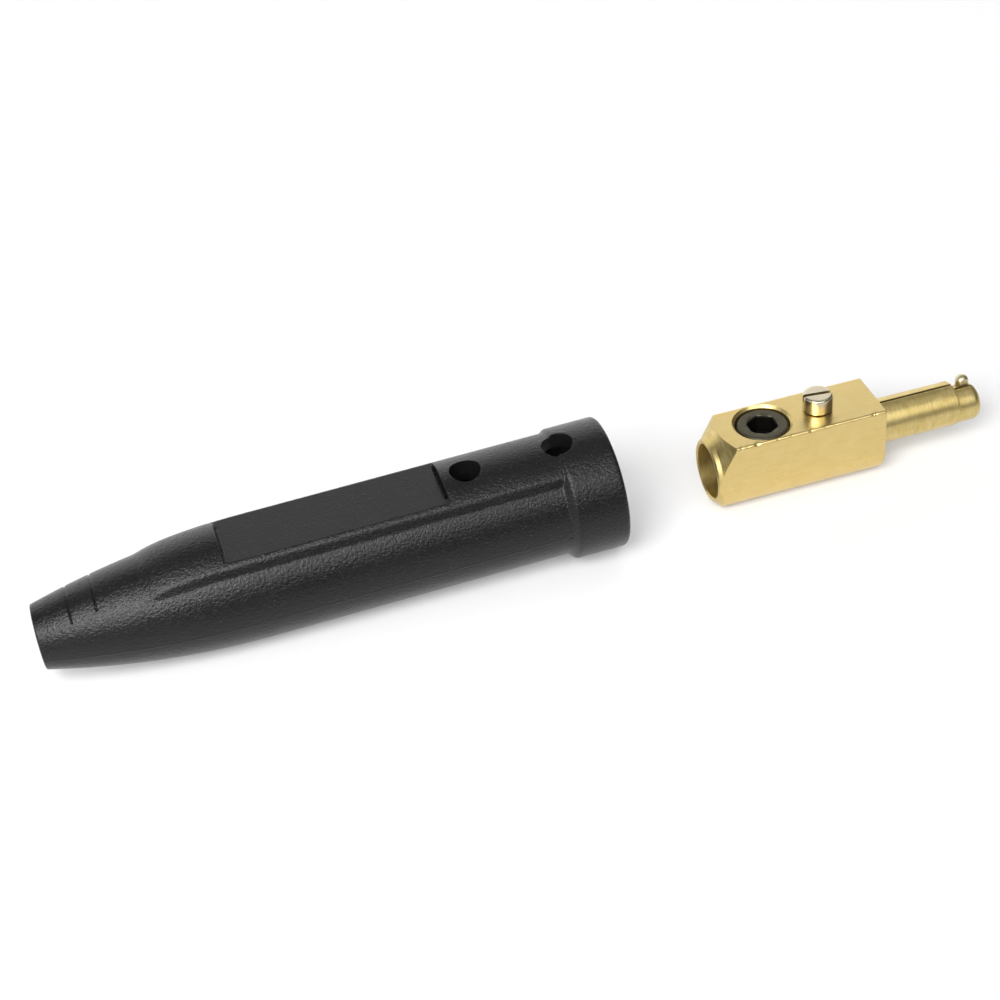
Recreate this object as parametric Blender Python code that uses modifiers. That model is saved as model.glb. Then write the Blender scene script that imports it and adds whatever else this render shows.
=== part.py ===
"""A male cable connector, taken apart and laid down in line: a moulded rubber
insulating sleeve, and the brass plug that slides into it, with its clamping
screw, its retaining screw and the locking lug on its split pin.

Metres, +Z up. Both pieces lie along X on the ground plane z = 0, and the origin
is at the middle of the whole object's footprint.
"""
import math

import bmesh
import bpy
from mathutils import Matrix

MM = 0.001

# Insulating sleeve, measured along its axis from the nose
SLEEVE_LENGTH = 167.0 * MM
NOSE_RADIUS = 9.3 * MM
NOSE_ROUND = 1.2 * MM
TAPER_LENGTH = 62.0 * MM
BODY_RADIUS = 17.2 * MM
COLLAR_RADIUS = 19.3 * MM
COLLAR_LENGTH = 15.0 * MM
COLLAR_BACK_LENGTH = 2.0 * MM
RIM_ROUND = 1.2 * MM
CABLE_HOLE_RADIUS = 7.0 * MM
CABLE_ROOM_RADIUS = 8.6 * MM
FRONT_RECESS_RADIUS = 14.6 * MM
FRONT_RECESS_DEPTH = 24.0 * MM
SLEEVE_FOOT_DEPTH = 0.2 * MM
SLEEVE_ROLL = math.radians(3.5)

# Raised pad along the top of the sleeve, with its flat and the two screw holes
PAD_RADIUS = 18.5 * MM
PAD_HALF_WIDTH = 12.1 * MM
PAD_START = 30.0 * MM
PAD_RISE_LENGTH = 28.0 * MM
PAD_EDGE_ROUND = 0.5 * MM
FLAT_START = 54.0 * MM
FLAT_LENGTH = 64.0 * MM
FLAT_DEPTH = 1.5 * MM
FLAT_RAMP = 3.0 * MM
REAR_HOLE_FROM_RIM = 41.8 * MM
FRONT_HOLE_FROM_RIM = 14.5 * MM
SCREW_HOLE_RADIUS = 4.7 * MM

# Brass plug: a bar with a flat top, flat sides and a round bottom that is planed to
# a narrow foot, so that the plug stands upright
BLOCK_LENGTH = 53.1 * MM
BLOCK_WIDTH = 19.05 * MM
BLOCK_HEIGHT = 24.2 * MM
BLOCK_EDGE = 0.8 * MM
BLOCK_FOOT_DEPTH = 0.4 * MM
TURNED_FACE_RADIUS = 9.1 * MM
TURNED_NECK_RADIUS = 9.5 * MM
TURNED_NECK_LENGTH = 1.8 * MM
TURNED_FILLET_RADIUS = 1.5 * MM
TURNED_CONE_RADIUS = 10.3 * MM
TURNED_CONE_START = 2.7 * MM
TURNED_CONE_LENGTH = 3.3 * MM
CABLE_BORE_RADIUS = 8.3 * MM
CABLE_BORE_DEPTH = 30.0 * MM
CABLE_BORE_BELOW_TOP = 12.8 * MM
BORE_MOUTH_CHAMFER = 0.4 * MM
DRILL_POINT_LENGTH = 3.0 * MM

# Split pin on the plug's front
PIN_RADIUS = 6.7 * MM
PIN_BELOW_TOP = 10.45 * MM
PIN_LENGTH = 25.8 * MM
PIN_EDGE = 0.5 * MM
PIN_NOSE_RADIUS = 5.6 * MM
PIN_NOSE_LENGTH = 8.0 * MM
PIN_NOSE_ROUND = 2.6 * MM
SAW_SLOT_WIDTH = 0.8 * MM
SAW_SLOT_LENGTH = 31.5 * MM

# Lug pressed into the far half of the split pin's nose
LUG_RADIUS = 2.45 * MM
LUG_FROM_PIN_END = 3.5 * MM
LUG_OFF_CENTRE = 1.9 * MM
LUG_HEIGHT = 4.1 * MM
LUG_SEAT_DEPTH = 3.0 * MM
LUG_CROWN = 2.2 * MM

# Clamping screw with a hex socket
SET_SCREW_RADIUS = 7.9 * MM
SET_SCREW_LENGTH = 9.5 * MM
SET_SCREW_BELOW_TOP = 0.7 * MM
SET_SCREW_FROM_FRONT = 35.5 * MM
SET_SCREW_EDGE = 0.6 * MM
SET_SCREW_POINT = 1.6 * MM
HEX_ACROSS_FLATS = 7.94 * MM
HEX_DEPTH = 5.5 * MM
SET_HOLE_COUNTERSINK = 0.5 * MM

# Slotted retaining screw
RETAINING_HEAD_RADIUS = 4.4 * MM
RETAINING_HEAD_HEIGHT = 5.0 * MM
RETAINING_HEAD_ROUND = 0.5 * MM
RETAINING_SHANK_RADIUS = 2.4 * MM
RETAINING_SHANK_LENGTH = 6.0 * MM
RETAINING_FROM_FRONT = 18.0 * MM
DRIVER_SLOT_WIDTH = 1.2 * MM
DRIVER_SLOT_DEPTH = 2.0 * MM
DRIVER_SLOT_TURN = math.radians(7)

# How the two pieces lie, and the fits between them
GAP_BETWEEN_PIECES = 31.4 * MM
PLUG_OFFSET_Y = 2.6 * MM
POCKET_CLEARANCE = 0.3 * MM
SCREW_CLEARANCE = 0.3 * MM
LUG_CLEARANCE = 0.3 * MM

ROUND_STEPS = 64
SMALL_STEPS = 32
BAR_ARC_STEPS = 24
TAPER_STEPS = 12
ROUND_ARC_STEPS = 3
CROWN_STEPS = 6
EDGE_STEPS = 2
SHARP_ANGLE = math.radians(30)
CORNER_ANGLE = math.radians(60)
MERGE_DISTANCE = 0.00001
HALF_STEP = math.pi / ROUND_STEPS
OVERLAP = 2.0 * MM

# Places along X that follow from the sizes
OVERALL_LENGTH = SLEEVE_LENGTH + GAP_BETWEEN_PIECES + BLOCK_LENGTH + PIN_LENGTH + PIN_NOSE_LENGTH
NOSE_X = -OVERALL_LENGTH / 2
PLUG_REAR_X = NOSE_X + SLEEVE_LENGTH + GAP_BETWEEN_PIECES
PLUG_FRONT_X = PLUG_REAR_X + BLOCK_LENGTH
PIN_END_X = PLUG_FRONT_X + PIN_LENGTH
NOSE_END_X = PIN_END_X + PIN_NOSE_LENGTH

# The plug rests on its round bottom, a little behind the sleeve's line
PLUG_TOP_Z = BLOCK_HEIGHT
PIN_AXIS_Z = PLUG_TOP_Z - PIN_BELOW_TOP
BORE_AXIS_Z = PLUG_TOP_Z - CABLE_BORE_BELOW_TOP
SET_SCREW_X = PLUG_FRONT_X - SET_SCREW_FROM_FRONT
RETAINING_X = PLUG_FRONT_X - RETAINING_FROM_FRONT
LUG_X = PIN_END_X + LUG_FROM_PIN_END


def clear_scene():
    for obj in list(bpy.data.objects):
        bpy.data.objects.remove(obj, do_unlink=True)


def new_collection(name):
    collection = bpy.data.collections.new(name)
    bpy.context.scene.collection.children.link(collection)
    return collection


clear_scene()
PARTS = new_collection("male_cable_connector")
CUTTERS = new_collection("cutters")


def add_object(name, data, cutter=False, parent=None):
    obj = bpy.data.objects.new(name, data)
    collection = CUTTERS if cutter else PARTS
    collection.objects.link(obj)
    if cutter:
        obj.hide_render = True
        obj.display_type = "WIRE"
    if parent is not None:
        obj.parent = parent
    return obj


def finish(name, colour, roughness, metallic, obj):
    """Give a part its own material and smooth its round faces."""
    material = bpy.data.materials.new(name)
    material.use_nodes = True
    shader = material.node_tree.nodes["Principled BSDF"]
    shader.inputs["Base Color"].default_value = (*colour, 1.0)
    shader.inputs["Roughness"].default_value = roughness
    shader.inputs["Metallic"].default_value = metallic
    obj.data.materials.append(material)
    obj.data.shade_smooth()
    obj.data.set_sharp_from_angle(angle=SHARP_ANGLE)


def arc(centre, radius, start, end, steps):
    """Points on a circle from one angle to another, both ends included."""
    angles = [start + (end - start) * i / steps for i in range(steps + 1)]
    return [(centre[0] + radius * math.cos(a), centre[1] + radius * math.sin(a)) for a in angles]


def turned(name, profile, steps=ROUND_STEPS, seam=0.0, **kwargs):
    """A solid of revolution about local Z. The profile is (radius, height) points
    down the outer side, and it starts and ends on the axis. The seam is the angle
    that it starts from."""
    mesh = bpy.data.meshes.new(name)
    points = [(radius * math.cos(seam), radius * math.sin(seam), height) for radius, height in profile]
    edges = [(i, i + 1) for i in range(len(points) - 1)]
    mesh.from_pydata(points, edges, [])
    obj = add_object(name, mesh, **kwargs)
    screw = obj.modifiers.new("turn", "SCREW")
    screw.axis = "Z"
    screw.angle = math.tau
    screw.steps = steps
    screw.render_steps = steps
    screw.use_merge_vertices = True
    screw.merge_threshold = MERGE_DISTANCE
    screw.use_smooth_shade = True
    return obj


def turned_along_x(name, profile, **kwargs):
    """The same with its axis along X: the profile is (x, radius) points from the
    low end to the high end."""
    flipped = [(radius, x) for x, radius in reversed(profile)]
    obj = turned(name, flipped, **kwargs)
    obj.rotation_euler = (0.0, math.pi / 2, 0.0)
    return obj


def box(name, low, high, **kwargs):
    mesh = bpy.data.meshes.new(name)
    bm = bmesh.new()
    bmesh.ops.create_cube(bm, size=1.0)
    size = [high[i] - low[i] for i in range(3)]
    centre = [(high[i] + low[i]) / 2 for i in range(3)]
    bmesh.ops.scale(bm, vec=size, verts=bm.verts)
    bmesh.ops.translate(bm, vec=centre, verts=bm.verts)
    bm.to_mesh(mesh)
    bm.free()
    return add_object(name, mesh, **kwargs)


def prism(name, radius, low, high, sides=SMALL_STEPS, places_x=(0.0,), **kwargs):
    """An upright cylinder or, with six sides, a hexagonal bar at each place along
    local X."""
    mesh = bpy.data.meshes.new(name)
    bm = bmesh.new()
    for x in places_x:
        bmesh.ops.create_cone(
            bm, cap_ends=True, segments=sides, radius1=radius, radius2=radius, depth=high - low,
            matrix=Matrix.Translation((x, 0.0, (low + high) / 2)),
        )
    bm.to_mesh(mesh)
    bm.free()
    return add_object(name, mesh, **kwargs)


def combine(obj, other, operation):
    modifier = obj.modifiers.new(operation.lower() + "_" + other.name, "BOOLEAN")
    modifier.operation = operation
    modifier.solver = "EXACT"
    modifier.object = other


def round_edges(obj, width):
    """Round the corners that turn by more than CORNER_ANGLE."""
    modifier = obj.modifiers.new("edge", "BEVEL")
    modifier.width = width
    modifier.segments = EDGE_STEPS
    modifier.limit_method = "ANGLE"
    modifier.angle_limit = CORNER_ANGLE


def bar_section(width, height, clearance=0.0):
    """Outline of the plug's bar, seen along X: (y, z) with its flat top at z = 0.
    Two straight sides run down into a round bottom with a narrow flat foot."""
    half = width / 2 + clearance
    round_centre = -(height + BLOCK_FOOT_DEPTH - width / 2)
    top = clearance
    foot_angle = math.acos((half - BLOCK_FOOT_DEPTH) / half)
    bottom = arc((0.0, round_centre), half, math.pi, 1.5 * math.pi - foot_angle, BAR_ARC_STEPS // 2)
    bottom += arc((0.0, round_centre), half, 1.5 * math.pi + foot_angle, math.tau, BAR_ARC_STEPS // 2)
    return [(half, top), (-half, top)] + bottom


def bar(name, outline, x_low, x_high, **kwargs):
    """The outline filled and extruded along X, as a closed mesh."""
    curve = bpy.data.curves.new(name + "_outline", "CURVE")
    curve.dimensions = "2D"
    curve.fill_mode = "BOTH"
    curve.extrude = (x_high - x_low) / 2
    spline = curve.splines.new("POLY")
    spline.points.add(len(outline) - 1)
    for point, (y, z) in zip(spline.points, outline):
        point.co = (y, z, 0.0, 1.0)
    spline.use_cyclic_u = True
    source = add_object(name + "_outline", curve, cutter=True)
    depsgraph = bpy.context.evaluated_depsgraph_get()
    mesh = bpy.data.meshes.new_from_object(source.evaluated_get(depsgraph))
    bpy.data.objects.remove(source, do_unlink=True)
    # The outline lies in the curve's XY plane: X becomes Y, Y becomes Z and Z becomes X
    turn = Matrix(((0, 0, 1, (x_low + x_high) / 2), (1, 0, 0, 0), (0, 1, 0, 0), (0, 0, 0, 1)))
    mesh.transform(turn)
    bm = bmesh.new()
    bm.from_mesh(mesh)
    bmesh.ops.remove_doubles(bm, verts=bm.verts, dist=MERGE_DISTANCE)
    bmesh.ops.recalc_face_normals(bm, faces=bm.faces)
    bm.to_mesh(mesh)
    bm.free()
    mesh.name = name
    return add_object(name, mesh, **kwargs)


def make_sleeve():
    """The moulded sleeve, built along local X from its nose. It rests on the back
    of its collar and on its body just ahead of the taper, so it leans a little, and
    it is flattened slightly at both places. It is rolled a little to the near side."""
    taper_curve = TAPER_LENGTH ** 2 / (2 * (BODY_RADIUS - NOSE_RADIUS))
    collar_edge = SLEEVE_LENGTH - COLLAR_LENGTH
    span = collar_edge - TAPER_LENGTH
    drop = COLLAR_RADIUS - BODY_RADIUS
    lean = math.atan((math.sqrt(span ** 2 + 2 * taper_curve * drop) - span) / taper_curve)
    rest_z = COLLAR_RADIUS * math.cos(lean) - collar_edge * math.sin(lean) - SLEEVE_FOOT_DEPTH

    seat = bpy.data.objects.new("sleeve_seat", None)
    PARTS.objects.link(seat)
    seat.location = (NOSE_X, 0.0, rest_z)
    seat.rotation_euler = (SLEEVE_ROLL, -lean, 0.0)

    def taper(s):
        return BODY_RADIUS - (TAPER_LENGTH - s) ** 2 / (2 * taper_curve)

    nose_corner = (NOSE_ROUND, taper(NOSE_ROUND) - NOSE_ROUND)
    rim_corner = (SLEEVE_LENGTH - RIM_ROUND, COLLAR_RADIUS - RIM_ROUND)
    taper_places = [NOSE_ROUND + (TAPER_LENGTH - NOSE_ROUND) * i / TAPER_STEPS for i in range(1, TAPER_STEPS + 1)]
    outside = [(0.0, 0.0)]
    outside += arc(nose_corner, NOSE_ROUND, math.pi, math.pi / 2, ROUND_ARC_STEPS)
    outside += [(s, taper(s)) for s in taper_places]
    outside.append((SLEEVE_LENGTH - COLLAR_LENGTH - COLLAR_BACK_LENGTH, BODY_RADIUS))
    outside.append((SLEEVE_LENGTH - COLLAR_LENGTH, COLLAR_RADIUS))
    outside += arc(rim_corner, RIM_ROUND, math.pi / 2, 0.0, ROUND_ARC_STEPS)
    outside.append((SLEEVE_LENGTH, 0.0))
    sleeve = turned_along_x("insulator_sleeve", outside, parent=seat)

    # The pad is a wider turned form, kept only above the body between two upright walls
    pad_end = SLEEVE_LENGTH - COLLAR_LENGTH / 2
    pad_start_drop = PAD_RADIUS - taper(PAD_START)
    rise_places = [PAD_START + PAD_RISE_LENGTH * i / TAPER_STEPS for i in range(TAPER_STEPS + 1)]
    pad_side = [
        (s, PAD_RADIUS - pad_start_drop * ((PAD_START + PAD_RISE_LENGTH - s) / PAD_RISE_LENGTH) ** 2)
        for s in rise_places
    ]
    pad_low = BODY_RADIUS / 2
    pad = turned_along_x(
        "pad", [(PAD_START, 0.0)] + pad_side + [(pad_end, PAD_RADIUS), (pad_end, 0.0)],
        cutter=True, parent=seat,
    )
    pad_walls = box(
        "pad_walls",
        (PAD_START - OVERLAP, -PAD_HALF_WIDTH, pad_low),
        (pad_end + OVERLAP, PAD_HALF_WIDTH, PAD_RADIUS + OVERLAP),
        cutter=True, parent=seat,
    )
    combine(pad, pad_walls, "INTERSECT")
    round_edges(pad, PAD_EDGE_ROUND)
    combine(sleeve, pad, "UNION")

    flat_z = PAD_RADIUS - FLAT_DEPTH
    flat = box(
        "flat", (FLAT_START, -PAD_HALF_WIDTH, flat_z),
        (FLAT_START + FLAT_LENGTH, PAD_HALF_WIDTH, PAD_RADIUS + OVERLAP),
        cutter=True, parent=seat,
    )
    # The flat's rear end rises in a ramp
    for vertex in flat.data.vertices:
        if vertex.co.x < FLAT_START + FLAT_LENGTH / 2 and vertex.co.z > flat_z + OVERLAP / 2:
            vertex.co.x -= FLAT_RAMP
    combine(sleeve, flat, "DIFFERENCE")

    # The cavity: front recess, pocket shaped as the plug's bar, and the cable's way
    recess_start = SLEEVE_LENGTH - FRONT_RECESS_DEPTH
    recess = turned_along_x(
        "front_recess",
        [(recess_start, 0.0), (recess_start, FRONT_RECESS_RADIUS),
         (SLEEVE_LENGTH + OVERLAP, FRONT_RECESS_RADIUS), (SLEEVE_LENGTH + OVERLAP, 0.0)],
        seam=HALF_STEP, cutter=True, parent=seat,
    )
    block_front_in_sleeve = SLEEVE_LENGTH - REAR_HOLE_FROM_RIM + RETAINING_FROM_FRONT
    pocket_start = block_front_in_sleeve - BLOCK_LENGTH - POCKET_CLEARANCE
    pocket = bar(
        "plug_pocket", bar_section(BLOCK_WIDTH, BLOCK_HEIGHT, POCKET_CLEARANCE),
        pocket_start, recess_start + OVERLAP, cutter=True, parent=seat,
    )
    pocket.location = (0.0, 0.0, PIN_BELOW_TOP)
    cable_way = turned_along_x(
        "cable_way",
        [(-OVERLAP, 0.0), (-OVERLAP, CABLE_HOLE_RADIUS), (NOSE_ROUND, CABLE_HOLE_RADIUS),
         (TAPER_LENGTH, CABLE_ROOM_RADIUS), (pocket_start + OVERLAP, CABLE_ROOM_RADIUS),
         (pocket_start + OVERLAP, 0.0)],
        seam=HALF_STEP, cutter=True, parent=seat,
    )
    combine(sleeve, recess, "DIFFERENCE")
    combine(sleeve, pocket, "DIFFERENCE")
    combine(sleeve, cable_way, "DIFFERENCE")

    screw_holes = prism(
        "screw_holes", SCREW_HOLE_RADIUS, BODY_RADIUS / 4, COLLAR_RADIUS + OVERLAP,
        places_x=(SLEEVE_LENGTH - REAR_HOLE_FROM_RIM, SLEEVE_LENGTH - FRONT_HOLE_FROM_RIM),
        cutter=True, parent=seat,
    )
    combine(sleeve, screw_holes, "DIFFERENCE")

    ground = box(
        "ground",
        (NOSE_X - OVERLAP, -COLLAR_RADIUS, -COLLAR_RADIUS),
        (NOSE_X + SLEEVE_LENGTH + OVERLAP, COLLAR_RADIUS, 0.0), cutter=True,
    )
    combine(sleeve, ground, "DIFFERENCE")
    finish("black_rubber", (0.02, 0.02, 0.022), 0.6, 0.0, sleeve)


def make_plug_body():
    """The brass plug: a drawn bar turned at its rear end, drilled for the cable and
    the two screws, with the turned and sawn pin on its front."""
    block = bar("plug_body", bar_section(BLOCK_WIDTH, BLOCK_HEIGHT), PLUG_REAR_X, PLUG_FRONT_X)
    block.location = (0.0, PLUG_OFFSET_Y, PLUG_TOP_Z)
    round_edges(block, BLOCK_EDGE)

    # What the lathe leaves of the bar's rear end, about the axis of the cable bore
    widest = math.hypot(BLOCK_WIDTH, CABLE_BORE_BELOW_TOP) + OVERLAP
    corner_radius = math.hypot(BLOCK_WIDTH / 2, CABLE_BORE_BELOW_TOP)
    cone_end = TURNED_CONE_START + TURNED_CONE_LENGTH
    # A fillet joins the slightly tapered neck to the cone
    neck_slope = math.atan((TURNED_NECK_RADIUS - TURNED_FACE_RADIUS) / TURNED_NECK_LENGTH)
    cone_slope = math.atan((corner_radius - TURNED_CONE_RADIUS) / TURNED_CONE_LENGTH)
    fillet_centre = (
        TURNED_NECK_LENGTH - TURNED_FILLET_RADIUS * math.sin(neck_slope),
        TURNED_NECK_RADIUS + TURNED_FILLET_RADIUS * math.cos(neck_slope),
    )
    turned_end = [(0.0, 0.0), (0.0, TURNED_FACE_RADIUS)]
    turned_end += arc(
        fillet_centre, TURNED_FILLET_RADIUS,
        neck_slope - math.pi / 2, cone_slope - math.pi / 2, 2 * ROUND_ARC_STEPS,
    )
    turned_end += [
        (cone_end, corner_radius),
        (cone_end + OVERLAP, widest),
        (BLOCK_LENGTH + OVERLAP, widest),
        (BLOCK_LENGTH + OVERLAP, 0.0),
    ]
    envelope = turned_along_x("turned_end", turned_end, cutter=True)
    envelope.location = (PLUG_REAR_X, PLUG_OFFSET_Y, BORE_AXIS_Z)
    combine(block, envelope, "INTERSECT")

    barrel = turned_along_x(
        "pin_barrel",
        [(-OVERLAP, 0.0), (-OVERLAP, PIN_RADIUS), (PIN_LENGTH - PIN_EDGE, PIN_RADIUS),
         (PIN_LENGTH, PIN_RADIUS - PIN_EDGE), (PIN_LENGTH, 0.0)],
        cutter=True,
    )
    barrel.location = (PLUG_FRONT_X, PLUG_OFFSET_Y, PIN_AXIS_Z)
    combine(block, barrel, "UNION")

    # The nose is turned off centre, so that it is relieved on top and nearly flush below
    nose_side = arc(
        (PIN_NOSE_LENGTH - PIN_NOSE_ROUND, PIN_NOSE_RADIUS - PIN_NOSE_ROUND),
        PIN_NOSE_ROUND, math.pi / 2, 0.0, 2 * ROUND_ARC_STEPS,
    )
    nose = turned_along_x(
        "pin_nose", [(-OVERLAP, 0.0), (-OVERLAP, PIN_NOSE_RADIUS)] + nose_side + [(PIN_NOSE_LENGTH, 0.0)],
        cutter=True,
    )
    nose_drop = PIN_RADIUS - PIN_NOSE_RADIUS - PIN_EDGE / 4
    nose.location = (PIN_END_X, PLUG_OFFSET_Y, PIN_AXIS_Z - nose_drop)
    combine(block, nose, "UNION")

    bore = turned_along_x(
        "cable_bore",
        [(-OVERLAP, 0.0), (-OVERLAP, CABLE_BORE_RADIUS + BORE_MOUTH_CHAMFER),
         (0.0, CABLE_BORE_RADIUS + BORE_MOUTH_CHAMFER), (BORE_MOUTH_CHAMFER, CABLE_BORE_RADIUS),
         (CABLE_BORE_DEPTH, CABLE_BORE_RADIUS), (CABLE_BORE_DEPTH + DRILL_POINT_LENGTH, 0.0)],
        cutter=True,
    )
    bore.location = (PLUG_REAR_X, PLUG_OFFSET_Y, BORE_AXIS_Z)
    combine(block, bore, "DIFFERENCE")

    set_hole_radius = SET_SCREW_RADIUS + SCREW_CLEARANCE
    set_hole = turned(
        "set_screw_hole",
        [(0.0, OVERLAP), (set_hole_radius + SET_HOLE_COUNTERSINK, OVERLAP),
         (set_hole_radius + SET_HOLE_COUNTERSINK, 0.0), (set_hole_radius, -SET_HOLE_COUNTERSINK),
         (set_hole_radius, -CABLE_BORE_BELOW_TOP), (0.0, -CABLE_BORE_BELOW_TOP)],
        cutter=True,
    )
    set_hole.location = (SET_SCREW_X, PLUG_OFFSET_Y, PLUG_TOP_Z)
    combine(block, set_hole, "DIFFERENCE")

    tapped_hole = prism(
        "retaining_screw_hole", RETAINING_SHANK_RADIUS + SCREW_CLEARANCE,
        -RETAINING_SHANK_LENGTH - SCREW_CLEARANCE, OVERLAP, cutter=True,
    )
    tapped_hole.location = (RETAINING_X, PLUG_OFFSET_Y, PLUG_TOP_Z)
    combine(block, tapped_hole, "DIFFERENCE")

    nose_top = PIN_AXIS_Z - nose_drop + PIN_NOSE_RADIUS
    lug_hole = prism(
        "lug_hole", LUG_RADIUS + LUG_CLEARANCE,
        -LUG_SEAT_DEPTH - LUG_CLEARANCE, PIN_RADIUS, cutter=True,
    )
    lug_hole.location = (LUG_X, PLUG_OFFSET_Y + LUG_OFF_CENTRE, nose_top)
    combine(block, lug_hole, "DIFFERENCE")

    saw_slot = box(
        "saw_slot",
        (NOSE_END_X - SAW_SLOT_LENGTH, PLUG_OFFSET_Y - SAW_SLOT_WIDTH / 2, PIN_AXIS_Z - PIN_RADIUS - OVERLAP),
        (NOSE_END_X + OVERLAP, PLUG_OFFSET_Y + SAW_SLOT_WIDTH / 2, PIN_AXIS_Z + PIN_RADIUS + OVERLAP),
        cutter=True,
    )
    combine(block, saw_slot, "DIFFERENCE")
    finish("brass", (0.72, 0.56, 0.27), 0.28, 1.0, block)

    make_lug(nose_top)


def make_lug(nose_top):
    """The steel lug: a crowned dowel in the pin's nose, sawn flush with the slot."""
    crown = [
        (LUG_RADIUS * math.cos(a), LUG_HEIGHT - LUG_CROWN + LUG_CROWN * math.sin(a))
        for a in (math.pi / 2 * (1 - i / CROWN_STEPS) for i in range(CROWN_STEPS + 1))
    ]
    lug = turned("lock_lug", crown + [(LUG_RADIUS, -LUG_SEAT_DEPTH), (0.0, -LUG_SEAT_DEPTH)], SMALL_STEPS)
    lug.location = (LUG_X, PLUG_OFFSET_Y + LUG_OFF_CENTRE, nose_top)
    sawn = box(
        "lug_sawn_face",
        (LUG_X - LUG_RADIUS - OVERLAP, PLUG_OFFSET_Y - PIN_RADIUS, nose_top - LUG_SEAT_DEPTH - OVERLAP),
        (LUG_X + LUG_RADIUS + OVERLAP, PLUG_OFFSET_Y + SAW_SLOT_WIDTH / 2, nose_top + LUG_HEIGHT + OVERLAP),
        cutter=True,
    )
    combine(lug, sawn, "DIFFERENCE")
    finish("lug_steel", (0.62, 0.55, 0.5), 0.35, 1.0, lug)


def make_set_screw():
    """The clamping screw, just below the bar's top. Its origin is on its axis."""
    top = -SET_SCREW_BELOW_TOP
    bottom = top - SET_SCREW_LENGTH
    screw = turned("set_screw", [
        (0.0, top), (SET_SCREW_RADIUS - SET_SCREW_EDGE, top), (SET_SCREW_RADIUS, top - SET_SCREW_EDGE),
        (SET_SCREW_RADIUS, bottom + SET_SCREW_POINT), (SET_SCREW_RADIUS - SET_SCREW_POINT, bottom),
        (0.0, bottom),
    ])
    screw.location = (SET_SCREW_X, PLUG_OFFSET_Y, PLUG_TOP_Z)
    hex_radius = HEX_ACROSS_FLATS / 2 / math.cos(math.pi / 6)
    socket = prism("hex_socket", hex_radius, top - HEX_DEPTH, top + OVERLAP, sides=6, cutter=True)
    socket.location = screw.location
    combine(screw, socket, "DIFFERENCE")
    finish("black_steel", (0.08, 0.085, 0.08), 0.45, 1.0, screw)


def make_retaining_screw():
    """The slotted cheese-head screw on the bar's top. Its origin is on its axis."""
    seat = SCREW_CLEARANCE
    head_top = seat + RETAINING_HEAD_HEIGHT
    head_side = arc(
        (RETAINING_HEAD_RADIUS - RETAINING_HEAD_ROUND, head_top - RETAINING_HEAD_ROUND),
        RETAINING_HEAD_ROUND, math.pi / 2, 0.0, ROUND_ARC_STEPS,
    )
    screw = turned("retaining_screw", [(0.0, head_top)] + head_side + [
        (RETAINING_HEAD_RADIUS, seat), (RETAINING_SHANK_RADIUS, seat),
        (RETAINING_SHANK_RADIUS, -RETAINING_SHANK_LENGTH), (0.0, -RETAINING_SHANK_LENGTH),
    ], SMALL_STEPS)
    screw.location = (RETAINING_X, PLUG_OFFSET_Y, PLUG_TOP_Z)
    slot = box(
        "driver_slot",
        (-RETAINING_HEAD_RADIUS - OVERLAP, -DRIVER_SLOT_WIDTH / 2, head_top - DRIVER_SLOT_DEPTH),
        (RETAINING_HEAD_RADIUS + OVERLAP, DRIVER_SLOT_WIDTH / 2, head_top + OVERLAP),
        cutter=True,
    )
    slot.location = screw.location
    slot.rotation_euler = (0.0, 0.0, DRIVER_SLOT_TURN)
    combine(screw, slot, "DIFFERENCE")
    finish("zinc_steel", (0.7, 0.7, 0.66), 0.3, 1.0, screw)


make_sleeve()
make_plug_body()
make_set_screw()
make_retaining_screw()
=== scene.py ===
"""A male cable connector, taken apart: a moulded rubber insulating sleeve and the
brass plug that slides into it, with its two screws and its locking lug.
"""
import math

import bpy
import numpy as np
from mathutils import Matrix, Vector


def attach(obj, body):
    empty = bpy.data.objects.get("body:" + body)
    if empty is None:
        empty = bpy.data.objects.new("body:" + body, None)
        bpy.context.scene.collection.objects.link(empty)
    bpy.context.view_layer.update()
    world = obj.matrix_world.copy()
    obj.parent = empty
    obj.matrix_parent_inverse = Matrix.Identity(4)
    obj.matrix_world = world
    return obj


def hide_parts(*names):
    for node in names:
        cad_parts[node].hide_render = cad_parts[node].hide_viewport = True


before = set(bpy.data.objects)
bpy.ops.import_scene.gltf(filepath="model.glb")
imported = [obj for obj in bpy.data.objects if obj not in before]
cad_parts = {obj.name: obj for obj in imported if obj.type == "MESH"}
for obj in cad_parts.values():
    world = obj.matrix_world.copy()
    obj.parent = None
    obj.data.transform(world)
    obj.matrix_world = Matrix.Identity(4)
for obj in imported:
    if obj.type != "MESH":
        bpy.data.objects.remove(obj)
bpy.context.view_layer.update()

# Camera
# A product shot from the cable end's side: the lens stands well back and looks down
# at the two pieces, and is rolled a little, so that they climb towards the right.
CAMERA_PLACE = (-0.11205, -0.4383, 0.3743)
CAMERA_YAW = math.radians(13.3)
CAMERA_PITCH = math.radians(38.01)
CAMERA_ROLL = math.radians(-6.01)
CAMERA_LENS = 72.0


def camera_turn(yaw, pitch, roll):
    """Columns are right, up and backward. Forward is (sin yaw cos pitch, cos yaw cos
    pitch, -sin pitch), right is level, and both axes then turn by roll."""
    forward = np.array([
        math.sin(yaw) * math.cos(pitch), math.cos(yaw) * math.cos(pitch), -math.sin(pitch),
    ])
    right = np.array([math.cos(yaw), -math.sin(yaw), 0.0])
    up = np.cross(right, forward)
    rolled_right = math.cos(roll) * right + math.sin(roll) * up
    rolled_up = -math.sin(roll) * right + math.cos(roll) * up
    return np.column_stack([rolled_right, rolled_up, -forward])


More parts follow.
